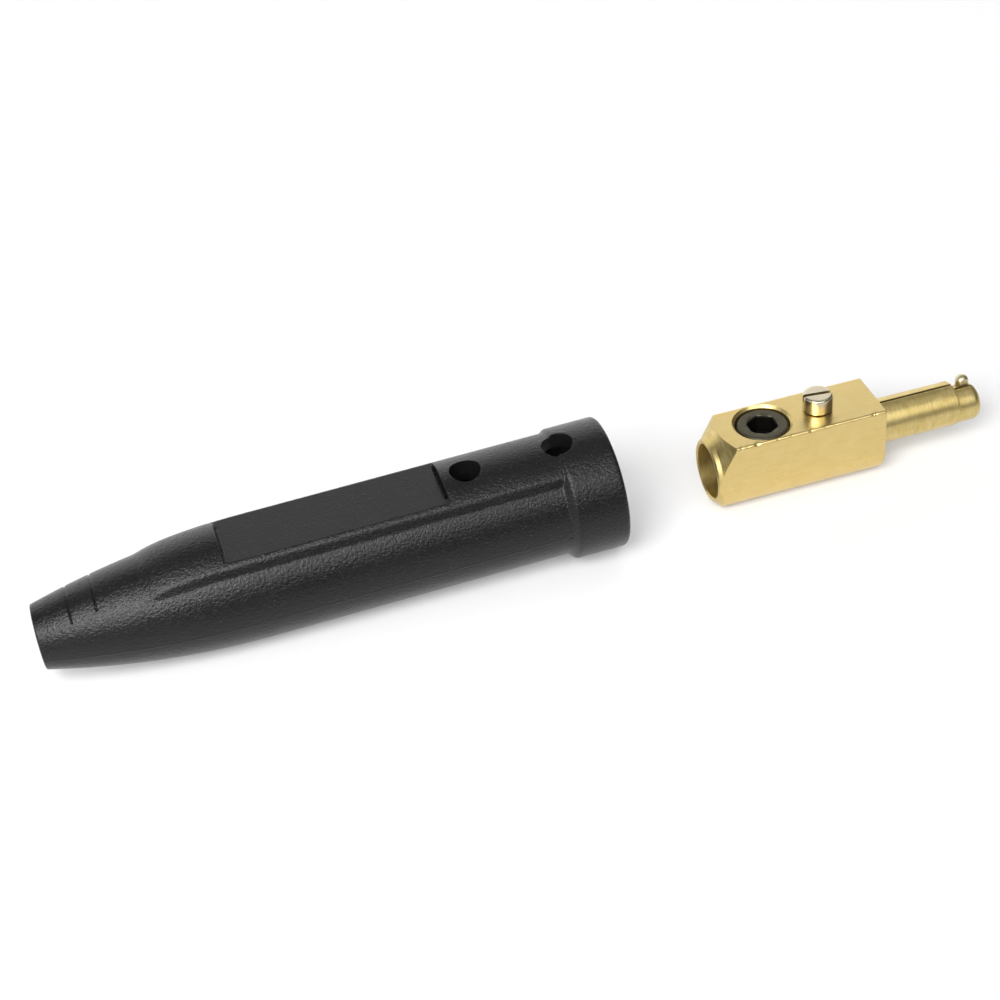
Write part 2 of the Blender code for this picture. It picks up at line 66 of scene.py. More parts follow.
lens = bpy.data.cameras.new("camera")
lens.lens = CAMERA_LENS
lens.sensor_width = 36.0
lens.sensor_fit = "HORIZONTAL"
lens.clip_start = 0.01
camera = bpy.data.objects.new("camera", lens)
bpy.context.scene.collection.objects.link(camera)
turn = camera_turn(CAMERA_YAW, CAMERA_PITCH, CAMERA_ROLL)
camera.matrix_world = Matrix.Translation(CAMERA_PLACE) @ Matrix(turn.tolist()).to_4x4()
bpy.context.scene.camera = camera

# Insulating sleeve
# One moulding in black rubber, hollow right through, with a keyed pocket for the
# plug. The mould leaves a fine grain, a seam along each side and a raised pad on top.
MM = 0.001
SLEEVE_LENGTH = 167.0
NOSE_X = -142.63
NOSE_RADIUS = 9.3
NOSE_ROUND = 0.6
TAPER_LENGTH = 62.0
BODY_RADIUS = 17.2
TAPER_CURVE = TAPER_LENGTH ** 2 / (2 * (BODY_RADIUS - NOSE_RADIUS))
COLLAR_RADIUS = 19.27
COLLAR_START = 152.0
COLLAR_BACK = 2.0
COLLAR_EDGE_ROUND = 0.5
COLLAR_FOOT_ROUND = 0.4
RIM_ROUND = 1.2
MOUTH_ROUND = 0.6
FOOT_DEPTH = 0.2
ROLL = math.radians(3.5)

# The raised pad starts on the taper and swells to its height, and a flat is planed on it
PAD_HEIGHT = 1.3
PAD_START = 29.0
PAD_SWELL = 7.0
PAD_FADE_IN = 4.0
PAD_SIDE_TURN = math.radians(66)
PAD_FOOT_ALONG = (36.0, 50.0)
PAD_FOOT_DEGREES = (44.0, 42.5)
PAD_EDGE_ROUND = 0.5
PAD_FOOT_ROUND = 0.2
FLAT_LOW = 53.6
FLAT_HIGH = 118.0
FLAT_HEIGHT = 16.0
FLAT_REAR_RAMP = 0.9
FLAT_FRONT_RAMP = 0.35
FLAT_EDGE_ROUND = 0.12
SEAM_ANGLE = math.radians(95)
SEAM_HEIGHT = 0.06
SEAM_WIDTH = 0.16

# A groove is its place along the sleeve, its first and last degree and its depth,
# and a nick is its place along the sleeve, its degree, its width and its depth
GROOVES = (
    (10.3, -43.0, 72.0, 0.30),
    (17.6, -37.0, 66.0, 0.30),
    (117.7, -25.0, 26.0, 0.70),
)
GROOVE_WIDTH = 0.26
GROOVE_FADE = 0.04
NICKS = (
    (149.5, -95.0, 0.45, 0.30),
    (166.2, -94.5, 0.50, 0.35),
    (54.3, 21.0, 0.45, 0.40),
)

RECESS_RADIUS = 14.6
RECESS_DEPTH = 24.0
POCKET_TOP = 10.75
POCKET_HALF = 9.825
POCKET_ROUND_BELOW = 4.625
POCKET_EDGE_ROUND = 0.8
POCKET_START = 89.8
CABLE_ROOM = 8.6
CABLE_HOLE = 7.0
SCREW_HOLE_PLACES = (125.2, 152.5)
SCREW_HOLE_RADIUS = 4.45
SCREW_HOLE_LIP = 0.2
CUTTER_BOTTOM = 4.0
CUTTER_TOP = 22.5
CUTTER_FLARE = 3.0


def crowded(low, high, count, places):
    """Stations from low to high, closer together round each (centre, width, times):
    the closeness 1 + (times - 1) exp(-((x - centre) / width)^2) is summed along the
    way, and the sum is cut into equal steps."""
    fine = np.linspace(low, high, 6001)
    closeness = np.ones_like(fine)
    for centre, width, times in places:
        closeness += (times - 1.0) * np.exp(-(((fine - centre) / width) ** 2))
    total = np.concatenate([[0.0], np.cumsum((closeness[1:] + closeness[:-1]) / 2)])
    return np.interp(np.linspace(0.0, total[-1], count), total, fine)


def lower(a, b, size):
    """The smaller of two numbers, with the corner between them rounded over size."""
    share = np.clip(0.5 + 0.5 * (b - a) / size, 0.0, 1.0)
    return b * (1 - share) + a * share - size * share * (1 - share)


def higher(a, b, size):
    """The larger of two numbers, with the corner between them rounded over size."""
    return -lower(-a, -b, size)


def skin(name, rings, ring_closes=False, start=None, end=None):
    """One closed surface through rings of points, given as an array of ring, step
    round and x, y, z in millimetres. The last ring joins the first, or a point
    closes each end."""
    count, around = rings.shape[:2]
    points = rings.reshape(-1, 3)
    ring = np.arange(count if ring_closes else count - 1)[:, None]
    step = np.arange(around)[None, :]
    after = (ring + 1) % count
    beside = (step + 1) % around
    quads = np.stack([
        ring * around + step, ring * around + beside,
        after * around + beside, after * around + step,
    ], axis=-1).reshape(-1, 4)
    faces = quads.tolist()
    low = np.arange(around)
    low_next = (low + 1) % around
    high_start = (count - 1) * around
    if start is not None:
        points = np.vstack([points, start])
        pole = np.full(around, len(points) - 1)
        faces += np.stack([low, pole, low_next], axis=-1).tolist()
    if end is not None:
        points = np.vstack([points, end])
        pole = np.full(around, len(points) - 1)
        faces += np.stack([high_start + low, high_start + low_next, pole], axis=-1).tolist()
    mesh = bpy.data.meshes.new(name)
    mesh.from_pydata((points * MM).tolist(), [], faces)
    piece = bpy.data.objects.new(name, mesh)
    bpy.context.scene.collection.objects.link(piece)
    return piece


def face_outwards(piece):
    """Turns a closed surface right side out: its signed volume, a sixth of the sum of
    each triangle's corner products, is made positive."""
    mesh = piece.data
    mesh.calc_loop_triangles()
    corners = np.empty(len(mesh.loop_triangles) * 3, dtype=np.int32)
    mesh.loop_triangles.foreach_get("vertices", corners)
    places = np.empty(len(mesh.vertices) * 3)
    mesh.vertices.foreach_get("co", places)
    a, b, c = places.reshape(-1, 3)[corners.reshape(-1, 3)].transpose(1, 0, 2)
    if np.einsum("ij,ij->i", a, np.cross(b, c)).sum() < 0:
        mesh.flip_normals()


def cut_away(piece, cutter, solver="EXACT"):
    """Takes the cutter's space out of the piece, once and for all, and removes it."""
    modifier = piece.modifiers.new("cut", "BOOLEAN")
    modifier.operation = "DIFFERENCE"
    modifier.solver = solver
    modifier.object = cutter
    held = bpy.context.evaluated_depsgraph_get()
    cut_mesh = bpy.data.meshes.new_from_object(piece.evaluated_get(held))
    piece.modifiers.clear()
    piece.data = cut_mesh
    bpy.data.objects.remove(cutter, do_unlink=True)


def finished(piece, sharp_degrees):
    """Smooth faces that break at real edges only."""
    piece.data.shade_smooth()
    piece.data.set_sharp_from_angle(angle=math.radians(sharp_degrees))


def sleeve_side(s):
    """Radius of the turned form: a parabola up the taper, the straight body, then the
    collar's back cone."""
    taper = BODY_RADIUS - np.clip(TAPER_LENGTH - s, 0.0, None) ** 2 / (2 * TAPER_CURVE)
    climb = (s - (COLLAR_START - COLLAR_BACK)) / COLLAR_BACK
    collar = BODY_RADIUS + (COLLAR_RADIUS - BODY_RADIUS) * climb
    collar = lower(collar, COLLAR_RADIUS, COLLAR_EDGE_ROUND)
    return higher(taper, collar, COLLAR_FOOT_ROUND)


def sleeve_outside(s, angle):
    """Radius at s from the nose and angle from the top. The pad is the lower of an
    arc that swells out of the taper as 1 - exp(-t^1.5) and of a leaning side, D /
    cos(|angle| - turn). The higher of pad and turned form shows. The flat, F / cos
    angle, is planed off the top, then grooves and nicks go in and the seam stands."""
    turned = sleeve_side(s)
    body = np.minimum(turned, BODY_RADIUS)
    away = np.abs(angle)
    swell = 1 - np.exp(-((np.clip(s - PAD_START, 0.0, None) / PAD_SWELL) ** 1.5))
    foot = np.radians(np.interp(s, PAD_FOOT_ALONG, PAD_FOOT_DEGREES))
    reach = body * np.cos(PAD_SIDE_TURN - foot)
    side = reach / np.cos(np.minimum(away, PAD_SIDE_TURN) - PAD_SIDE_TURN)
    pad = lower(body + PAD_HEIGHT * swell, side, PAD_EDGE_ROUND)
    pad = np.where(away < PAD_SIDE_TURN, pad, 0.0)
    fade = np.clip((s - PAD_START) / PAD_FADE_IN, 0.0, 1.0)
    radius = turned + (higher(turned, pad, PAD_FOOT_ROUND) - turned) * fade
    into_flat = np.clip((s - FLAT_LOW) / FLAT_REAR_RAMP, 0.0, 1.0)
    into_flat = into_flat * np.clip((FLAT_HIGH - s) / FLAT_FRONT_RAMP, 0.0, 1.0)
    plane = FLAT_HEIGHT / np.maximum(np.cos(angle), 0.5)
    planed = np.where(np.cos(angle) > 0.6, lower(radius, plane, FLAT_EDGE_ROUND), radius)
    radius = radius + (planed - radius) * into_flat
    for place, start, end, depth in GROOVES:
        begun = np.clip((angle - math.radians(start)) / GROOVE_FADE, 0, 1)
        share = begun * np.clip((math.radians(end) - angle) / GROOVE_FADE, 0, 1)
        radius = radius - depth * share * np.exp(-(((s - place) / GROOVE_WIDTH) ** 2))
    for place, degrees, width, depth in NICKS:
        apart = (s - place) ** 2 + (radius * (angle - math.radians(degrees))) ** 2
        radius = radius - depth * np.exp(-apart / width ** 2)
    seam = SEAM_HEIGHT * np.exp(-((radius * (away - SEAM_ANGLE) / SEAM_WIDTH) ** 2))
    return radius + seam * (s < COLLAR_START - COLLAR_BACK)


def pocket_radius(angle):
    """Distance from the axis to the pocket's wall: flat top, flat sides, and a half
    round bottom about a centre below the axis."""
    across = np.maximum(np.abs(np.sin(angle)), 0.001)
    upward = np.cos(angle)
    top = np.where(upward > 0.001, POCKET_TOP / np.maximum(upward, 0.001), 100.0)
    side = POCKET_HALF / across
    along = -POCKET_ROUND_BELOW * upward
    inside = np.maximum(along ** 2 - POCKET_ROUND_BELOW ** 2 + POCKET_HALF ** 2, 0.0)
    bottom = along + np.sqrt(inside)
    in_bottom = side * upward < -POCKET_ROUND_BELOW
    return np.where(in_bottom, bottom, lower(top, side, POCKET_EDGE_ROUND))


def circle(steps):
    """Angles of the steps round a full circle."""
    return np.linspace(0, math.tau, steps, endpoint=False)


def quarter(steps, start_degrees, end_degrees):
    """Angles of a rounded edge's rings, both ends included."""
    return np.radians(np.linspace(start_degrees, end_degrees, steps))


def column(values):
    """One value to a ring, the same all the way round."""
    return np.asarray(values, dtype=float)[:, None]


# Steps crowd at the pad's side, the flat's edge and the seam, and rings at the
# grooves, the flat's two ends and the collar's back
sleeve_angle = crowded(-math.pi, math.pi, 273, [
    (math.radians(side * degrees), math.radians(width), times)
    for side in (-1, 1)
    for degrees, width, times in (
        (38.5, 5.0, 6.0), (30.1, 1.2, 4.0), (math.degrees(SEAM_ANGLE), 0.9, 8.0),
    )
])[:-1]
along = column(crowded(NOSE_ROUND, SLEEVE_LENGTH - RIM_ROUND, 250, [
    (GROOVES[0][0], 0.6, 9.0),
    (GROOVES[1][0], 0.6, 9.0),
    (FLAT_LOW + 0.4, 0.8, 8.0),
    (FLAT_HIGH - 0.1, 0.5, 14.0),
    (COLLAR_START - 1.0, 1.6, 6.0),
])[1:-1])


def run(s, radius):
    """A run of rings, with s and radius filled out to every ring and angle."""
    return np.stack(np.broadcast_arrays(s, radius, sleeve_angle)[:2])


def rounded(s, radius, size, bend):
    """A run of rings round an edge: arcs of the given size about s and radius."""
    return run(column(s + size * np.cos(bend)), column(radius + size * np.sin(bend)))


wall = pocket_radius(sleeve_angle)
recess_floor = SLEEVE_LENGTH - RECESS_DEPTH
inward = column([0.33, 0.67])
cable_s = column(np.linspace(TAPER_LENGTH - 4.0, 2.0, 16))
ring_s, ring_radius = np.concatenate([
    rounded(NOSE_ROUND, sleeve_side(NOSE_ROUND) - NOSE_ROUND, NOSE_ROUND, quarter(6, 180, 90)),
    run(along, sleeve_outside(along, sleeve_angle)),
    rounded(SLEEVE_LENGTH - RIM_ROUND, COLLAR_RADIUS - RIM_ROUND, RIM_ROUND, quarter(6, 90, 0)),
    rounded(SLEEVE_LENGTH - MOUTH_ROUND, RECESS_RADIUS + MOUTH_ROUND, MOUTH_ROUND, quarter(4, 0, -90)),
    run(column(np.linspace(SLEEVE_LENGTH - 3.0, recess_floor, 12)), RECESS_RADIUS),
    run(recess_floor, RECESS_RADIUS + (wall - RECESS_RADIUS) * inward),
    run(column(np.linspace(recess_floor, POCKET_START, 20)), wall),
    run(POCKET_START, wall + (CABLE_ROOM - wall) * inward),
    run(column(np.linspace(POCKET_START, TAPER_LENGTH, 8)), CABLE_ROOM),
    run(cable_s, np.interp(cable_s, [NOSE_ROUND, TAPER_LENGTH], [CABLE_HOLE, CABLE_ROOM])),
    run(column([0.5, 0.15, 0.0]), CABLE_HOLE + column([0.0, 0.15, 0.5])),
], axis=1)

# The sleeve leans a little: it rests on its collar and on the end of its taper, where
# a straight line from the collar touches the parabola, and both are pressed flat
span = COLLAR_START - TAPER_LENGTH
drop = COLLAR_RADIUS - BODY_RADIUS
LEAN = math.atan((math.sqrt(span ** 2 + 2 * TAPER_CURVE * drop) - span) / TAPER_CURVE)
NOSE_Z = COLLAR_RADIUS * math.cos(LEAN) - COLLAR_START * math.sin(LEAN) - FOOT_DEPTH


def laid_down(s, y, z):
    """The sleeve's own s, y, z rolled a little towards the camera, leaned up and set
    down, with nothing below the floor."""
    across = y * math.cos(ROLL) - z * math.sin(ROLL)
    above = y * math.sin(ROLL) + z * math.cos(ROLL)
    height = NOSE_Z + s * math.sin(LEAN) + above * math.cos(LEAN)
    return np.stack([
        NOSE_X + s * math.cos(LEAN) - above * math.sin(LEAN), across, np.maximum(height, 0.0),
    ], axis=-1)


sleeve = skin("rubber_sleeve", laid_down(
    ring_s, ring_radius * np.sin(sleeve_angle), ring_radius * np.cos(sleeve_angle),
), ring_closes=True)
face_outwards(sleeve)


def screw_hole_cutter(place):
    """A tube up through the sleeve's top wall. Its rim follows the surface's height
    at each angle and flares over it by a quarter circle, which rounds the hole's lip."""
    angle = circle(64)
    y_edge = SCREW_HOLE_RADIUS * np.sin(angle)
    polar = np.arcsin(y_edge / (BODY_RADIUS + PAD_HEIGHT))
    surface = sleeve_outside(place + SCREW_HOLE_RADIUS * np.cos(angle), polar) * np.cos(polar)
    flare = column(quarter(5, 180, 90))
    radii = np.vstack([
        [[SCREW_HOLE_RADIUS]],
        SCREW_HOLE_RADIUS + SCREW_HOLE_LIP * (1 + np.cos(flare)),
        [[SCREW_HOLE_RADIUS + CUTTER_FLARE]],
    ])
    heights = np.vstack([
        np.full_like(surface, CUTTER_BOTTOM),
        surface - SCREW_HOLE_LIP * (1 - np.sin(flare)),
        surface + CUTTER_FLARE,
    ])
    rings = laid_down(place + radii * np.cos(angle), radii * np.sin(angle), heights)
    low, high = laid_down(place, 0.0, CUTTER_BOTTOM), laid_down(place, 0.0, CUTTER_TOP)
    cutter = skin("screw_hole", rings, start=low, end=high)
    face_outwards(cutter)
    return cutter


for place in SCREW_HOLE_PLACES:
    cut_away(sleeve, screw_hole_cutter(place))
finished(sleeve, 40)

RUBBER_DARK = (0.0025, 0.0025, 0.003)
RUBBER_PALE = (0.006, 0.006, 0.0065)
# Painted highlight: pale specks in the rubber's colour stand in for glints of its grain
GLINT_SPECK = (0.09, 0.09, 0.09)
GRAIN_HEIGHT = 0.00018
PIT_HEIGHT = 0.00010


def node(tree, kind, **settings):
    """A shader node with its settings: a name that is an input sets that socket."""
    made = tree.nodes.new(kind)
    for key, value in settings.items():
        socket = key.replace("_", " ")
        if socket in made.inputs:
            made.inputs[socket].default_value = value
        else:
            setattr(made, key.lower(), value)
    return made


def new_finish(name):
    """An empty material with its node tree, its shader and the object's own place."""
    material = bpy.data.materials.new(name)
    material.use_nodes = True
    tree = material.node_tree
    place = node(tree, "ShaderNodeTexCoord").outputs["Object"]
    return material, tree, tree.nodes["Principled BSDF"], place


def noise(tree, place, scale, detail, roughness=0.6):
    """Cloudy noise read at a place, from 0 to 1."""
    cloud = node(tree, "ShaderNodeTexNoise", Scale=scale, Detail=detail, Roughness=roughness)
    tree.links.new(place, cloud.inputs["Vector"])
    return cloud.outputs["Fac"]


def carried(tree, value, low, high, to_low=0.0, to_high=1.0):
    """A value carried from the range low to high onto another, and held within it."""
    ramp = node(tree, "ShaderNodeMapRange", From_Min=low, From_Max=high, To_Min=to_low, To_Max=to_high)
    tree.links.new(value, ramp.inputs["Value"])
    return ramp.outputs["Result"]


def tinted(tree, factor, low, high):
    """A colour that goes from low to high as the factor goes from 0 to 1. Low is a
    colour or another node's output."""
    mix = node(tree, "ShaderNodeMix", data_type="RGBA")
    if isinstance(low, tuple):
        mix.inputs["A"].default_value = (*low, 1.0)
    else:
        tree.links.new(low, mix.inputs["A"])
    mix.inputs["B"].default_value = (*high, 1.0)
    tree.links.new(factor, mix.inputs["Factor"])
    return mix.outputs["Result"]


def raised(tree, height, strength, distance, under=None):
    """The normal of a surface raised by a height, over another such normal or none."""
    bump = node(tree, "ShaderNodeBump", Strength=strength, Distance=distance)
    tree.links.new(height, bump.inputs["Height"])
    if under is not None:
        tree.links.new(under, bump.inputs["Normal"])
    return bump.outputs["Normal"]


def rubber_finish(name, roughness, grain_lift, specular):
    """Black rubber from a blasted mould: two sizes of grain raise it, pale specks are painted
    into its colour as glints of the grain, and tone and gloss drift slowly over it."""
    material, tree, shader, place = new_finish(name)
    link = tree.links.new
    cloud = noise(tree, place, 60.0, 5.0)
    grain = noise(tree, place, 2400.0, 2.0)
    glint_noise = noise(tree, place, 2600.0, 1.0, 0.5)
    pits = node(tree, "ShaderNodeTexVoronoi", Scale=1100.0)
    link(place, pits.inputs["Vector"])
    tone = tinted(tree, cloud, RUBBER_DARK, RUBBER_PALE)
    # Pale specks painted into the colour as glints of the grain
    glinted = tinted(tree, carried(tree, glint_noise, 0.72, 0.80), tone, GLINT_SPECK)
    link(glinted, shader.inputs["Base Color"])
    gloss = carried(tree, cloud, 0.3, 0.7, roughness, roughness + 0.07)
    link(gloss, shader.inputs["Roughness"])
    shader.inputs["Specular IOR Level"].default_value = specular
    fine = raised(tree, grain, grain_lift, GRAIN_HEIGHT)
    coarse = raised(tree, pits.outputs["Distance"], grain_lift, PIT_HEIGHT, fine)
    link(coarse, shader.inputs["Normal"])
    return material


def face_places(piece):
    """The middle of every face, in millimetres, and its normal."""
    faces = piece.data.polygons
    middle, normal = np.empty(len(faces) * 3), np.empty(len(faces) * 3)
    faces.foreach_get("center", middle)
    faces.foreach_get("normal", normal)
    return middle.reshape(-1, 3) / MM, normal.reshape(-1, 3)


def dress(piece, finishes, index=None):
    """Gives a piece its finishes, and each face the number of its own."""
    piece.data.materials.clear()
    for finish in finishes:
        piece.data.materials.append(finish)
    if index is not None:
        piece.data.polygons.foreach_set("material_index", index.astype(np.int32))


# The planed flat is smoother than the grained outside, and the inside is duller
middle, normal = face_places(sleeve)
upward = laid_down(0.0, 0.0, 1.0) - laid_down(0.0, 0.0, 0.0)
flat_low, flat_high = (laid_down(s, 0.0, FLAT_HEIGHT)[0] for s in (FLAT_LOW, FLAT_HIGH))
on_flat = (normal @ upward > 0.9995) & (middle[:, 0] > flat_low) & (middle[:, 0] < flat_high)
axis_z = NOSE_Z + (middle[:, 0] - NOSE_X) * math.tan(LEAN)
off_axis = np.hypot(middle[:, 1], middle[:, 2] - axis_z)
past_taper = middle[:, 0] > NOSE_X + TAPER_LENGTH
inside = off_axis < np.where(past_taper, RECESS_RADIUS + MOUTH_ROUND, NOSE_RADIUS - 1.5)
for place in SCREW_HOLE_PLACES:
    hole_x, hole_y, _ = laid_down(place, 0.0, BODY_RADIUS)
    off_hole = np.hypot(middle[:, 0] - hole_x, middle[:, 1] - hole_y)
    near_hole = (off_hole < SCREW_HOLE_RADIUS + 0.5) & (middle[:, 2] > axis_z)
    inside |= near_hole & (normal @ upward < 0.7)
dress(sleeve, [
    rubber_finish("grained_rubber", 0.20, 0.85, 0.32),
    rubber_finish("planed_rubber", 0.36, 0.25, 0.50),
    rubber_finish("inner_rubber", 0.55, 0.40, 0.15),
], np.where(inside, 2, on_flat))
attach(sleeve, "connector")
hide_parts("insulator_sleeve")

# Brass plug
# One piece of drawn brass bar with a round underside, turned and bored at the cable
# end. The pin is turned on its front and sawn down the middle, so that it can spring.
PLUG_X = 55.75
PLUG_Y = 2.6
BORE_Z = 11.4
BAR_LENGTH = 53.1
BAR_HALF = 9.525
BAR_TOP = 12.8
BAR_ROUND_BELOW = 2.275
BAR_EDGE = 0.7
BAR_FRONT_ROUND = 0.4
FACE_RADIUS = 9.1
CHAMFER_X = (0.0, 0.3, 1.5, 3.4, 4.8, 6.0)
CHAMFER_RADIUS = (9.1, 9.525, 10.33, 12.44, 14.2, 15.956)
BORE_RADIUS = 8.3
BORE_DEPTH = 30.0
DRILL_POINT = 3.0
MOUTH_CHAMFER = 0.4
PIN_RISE = 2.35
PIN_RADIUS = 6.7
PIN_LENGTH = 25.8
PIN_EDGE = 0.5
TIP_RADIUS = 5.6
TIP_DROP = 0.975
TIP_LENGTH = 8.0
TIP_ROUND = 2.6
SET_SCREW_AT = 17.6
SET_HOLE_RADIUS = 8.2
COUNTERSINK = 0.75
RETAINING_AT = 35.1
TAPPED_RADIUS = 2.7
TAPPED_DEPTH = 6.3
TAPPED_CHAMFER = 0.3
SAW_LENGTH = 31.5
SAW_WIDTH = 0.8
LUG_AT = PIN_LENGTH + BAR_LENGTH + 4.2
LUG_OFF = 1.9
LUG_BASE = PIN_RISE - TIP_DROP + TIP_RADIUS - BAR_TOP
LUG_HOLE_RADIUS = 2.15
LUG_HOLE_DEPTH = 3.3
PAST_SURFACE = 2.0

bar_angle = crowded(-math.pi, math.pi, 289, [
    (math.radians(side * 36.65), math.radians(2.6), 8.0) for side in (-1, 1)
])[:-1]
chance = np.random.default_rng(11)
dents = [
    (place, chance.uniform(0.25, 0.6), chance.uniform(0.05, 0.22))
    for place in chance.uniform(6.0, BAR_LENGTH - 1.0, 16)
]


def bar_outline(angle, inset):
    """Distance from the bore's axis to the bar's outline, drawn in by inset: a flat
    top, flat sides, a half round underside, and a small arc at each top corner."""
    across = np.maximum(np.abs(np.sin(angle)), 0.001)
    upward = np.cos(angle)
    half, height = BAR_HALF - inset, BAR_TOP - inset
    edge = max(BAR_EDGE - inset, 0.05)
    top = np.where(upward > 0.001, height / np.maximum(upward, 0.001), 100.0)
    side = half / across
    centre = np.array([half - edge, height - edge])
    toward = across * centre[0] + upward * centre[1]
    corner = toward + np.sqrt(np.maximum(toward ** 2 - centre @ centre + edge ** 2, 0.0))
    past_top = np.maximum(upward, 0.001) * centre[0] < across * height
    past_side = across * centre[1] < upward * half
    down = -BAR_ROUND_BELOW * upward
    bottom = down + np.sqrt(np.maximum(down ** 2 - BAR_ROUND_BELOW ** 2 + half ** 2, 0.0))
    radius = np.minimum(top, side)
    radius = np.where(past_top & past_side & (upward > 0), corner, radius)
    return np.where(side * upward < -BAR_ROUND_BELOW, bottom, radius)


def nicked(at, radius):
    """The bar's radius with small dents along its near top edge, each a bell curve in
    x and in angle."""
    off_corner = (bar_angle + math.atan2(BAR_HALF, BAR_TOP)) / 0.035
    for place, width, depth in dents:
        radius = radius - depth * np.exp(-((at - place) / width) ** 2 - off_corner ** 2)
    return radius


def plug_rings():
    """All rings from the bore's drilled point out over the turned end, along the bar
    and the pin to its tip. The cone's last ring stops where the cone meets the bar at
    that angle, so the arched edge between them is a line of the mesh."""
    outline = bar_outline(bar_angle, 0.0)
    meets = np.interp(outline, CHAMFER_RADIUS, CHAMFER_X)
    bar_end = BAR_LENGTH - BAR_FRONT_ROUND
    tip_start = BAR_LENGTH + PIN_LENGTH
    tip_end = tip_start + TIP_LENGTH
    tip_rise = PIN_RISE - TIP_DROP
    x, y, z = [], [], []

    def add(at, radius, rise=0.0):
        """A ring at one place along the plug, round an axis that is rise higher."""
        x.append(at + 0 * bar_angle)
        y.append(radius * np.sin(bar_angle))
        z.append(radius * np.cos(bar_angle) + rise)

    def step_in(at, radius, rise, steps):
        """Rings across a flat face, from the last ring in even steps to a circle."""
        from_y, from_z = y[-1], z[-1]
        for share in np.arange(1, steps + 1) / steps:
            x.append(at + 0 * bar_angle)
            y.append(from_y + (radius * np.sin(bar_angle) - from_y) * share)
            z.append(from_z + (radius * np.cos(bar_angle) + rise - from_z) * share)

    for share in np.linspace(0.15, 1.0, 6):
        add(BORE_DEPTH + DRILL_POINT * (1 - share), BORE_RADIUS * share)
    for at in np.linspace(BORE_DEPTH, MOUTH_CHAMFER, 20)[1:]:
        add(at, BORE_RADIUS)
    add(0.0, BORE_RADIUS + MOUTH_CHAMFER)
    add(0.0, FACE_RADIUS - 0.1)
    for share in np.linspace(0.0, 1.0, 34) ** 1.5:
        radius = FACE_RADIUS + (outline - FACE_RADIUS) * share
        add(np.interp(radius, CHAMFER_RADIUS, CHAMFER_X), radius)
    for share in np.linspace(0.0, 1.0, 170)[1:]:
        at = meets + (bar_end - meets) * share
        add(at, nicked(at, outline))
    for bend in quarter(5, 0, 90)[1:]:
        inset = BAR_FRONT_ROUND * (1 - math.cos(bend))
        add(bar_end + BAR_FRONT_ROUND * math.sin(bend), bar_outline(bar_angle, inset))
    step_in(BAR_LENGTH, PIN_RADIUS, PIN_RISE, 7)
    for at in np.linspace(0.0, PIN_LENGTH - PIN_EDGE, 20)[1:]:
        add(BAR_LENGTH + at, PIN_RADIUS, PIN_RISE)
    add(tip_start, PIN_RADIUS - PIN_EDGE, PIN_RISE)
    step_in(tip_start, TIP_RADIUS, tip_rise, 2)
    for at in np.linspace(0.0, TIP_LENGTH - TIP_ROUND, 8)[1:]:
        add(tip_start + at, TIP_RADIUS, tip_rise)
    for bend in quarter(12, 0, 90)[1:]:
        radius = TIP_RADIUS - TIP_ROUND * (1 - math.cos(bend))
        add(tip_end - TIP_ROUND + TIP_ROUND * math.sin(bend), radius, tip_rise)
    for share in (0.7, 0.35):
        add(tip_end, (TIP_RADIUS - TIP_ROUND) * share, tip_rise)
    height = np.maximum(np.array(z) + BORE_Z, 0.0)
    rings = np.stack([np.array(x) + PLUG_X, np.array(y) + PLUG_Y, height], axis=-1)
    start = np.array([PLUG_X + BORE_DEPTH + DRILL_POINT, PLUG_Y, BORE_Z])
    end = np.array([PLUG_X + tip_end, PLUG_Y, BORE_Z + tip_rise])
    return rings, start, end


rings, start, end = plug_rings()
plug = skin("brass_plug", rings, start=start, end=end)
face_outwards(plug)


def stand_on_bar(name, place, angle, rows, ends=None):
    """A surface about an upright axis at x, y on the plug: a ring for each row, which
    is a radius and a height above the bar's top, and a point to close each end, at
    the heights in ends or else at the first and the last row's."""
    radius = np.stack([out + 0 * angle for out, _ in rows])
    height = np.stack([up + 0 * angle for _, up in rows])
    first, last = ends or (rows[0][1], rows[-1][1])
    axis = np.array([PLUG_X + place[0], PLUG_Y + place[1], BORE_Z + BAR_TOP])
    rings = np.stack([radius * np.cos(angle), radius * np.sin(angle), height], axis=-1) + axis
    made = skin(name, rings, start=axis + [0, 0, first], end=axis + [0, 0, last])
    face_outwards(made)
    return made


def slab(name, low, high):
    """A plain block between two corners, for a saw cut or a driver slot."""
    low, high = np.array(low), np.array(high)
    loop = np.array([[0, 0], [1, 0], [1, 1], [0, 1]])
    ends = np.stack([np.column_stack([np.full(4, end), loop]) for end in (0, 1)])
    corners = low + (high - low) * ends
    made = skin(name, corners, start=corners[0].mean(0), end=corners[1].mean(0))
    face_outwards(made)
    return made


cut_away(plug, stand_on_bar("set_screw_hole", (SET_SCREW_AT, 0.0), circle(96), [
    (SET_HOLE_RADIUS, -BAR_TOP),
    (SET_HOLE_RADIUS, -COUNTERSINK),
    (SET_HOLE_RADIUS + COUNTERSINK, 0.0),
    (SET_HOLE_RADIUS + COUNTERSINK + PAST_SURFACE, PAST_SURFACE),
]))
cut_away(plug, stand_on_bar("tapped_hole", (RETAINING_AT, 0.0), circle(48), [
    (TAPPED_RADIUS, -TAPPED_DEPTH),
    (TAPPED_RADIUS, -TAPPED_CHAMFER),
    (TAPPED_RADIUS + TAPPED_CHAMFER + PAST_SURFACE, PAST_SURFACE),
]))
cut_away(plug, stand_on_bar("lug_hole", (LUG_AT, LUG_OFF), circle(48), [
    (LUG_HOLE_RADIUS, LUG_BASE - LUG_HOLE_DEPTH),
    (LUG_HOLE_RADIUS, LUG_BASE + 6.0),
]))
tip_x = PLUG_X + BAR_LENGTH + PIN_LENGTH + TIP_LENGTH
pin_z = BORE_Z + PIN_RISE
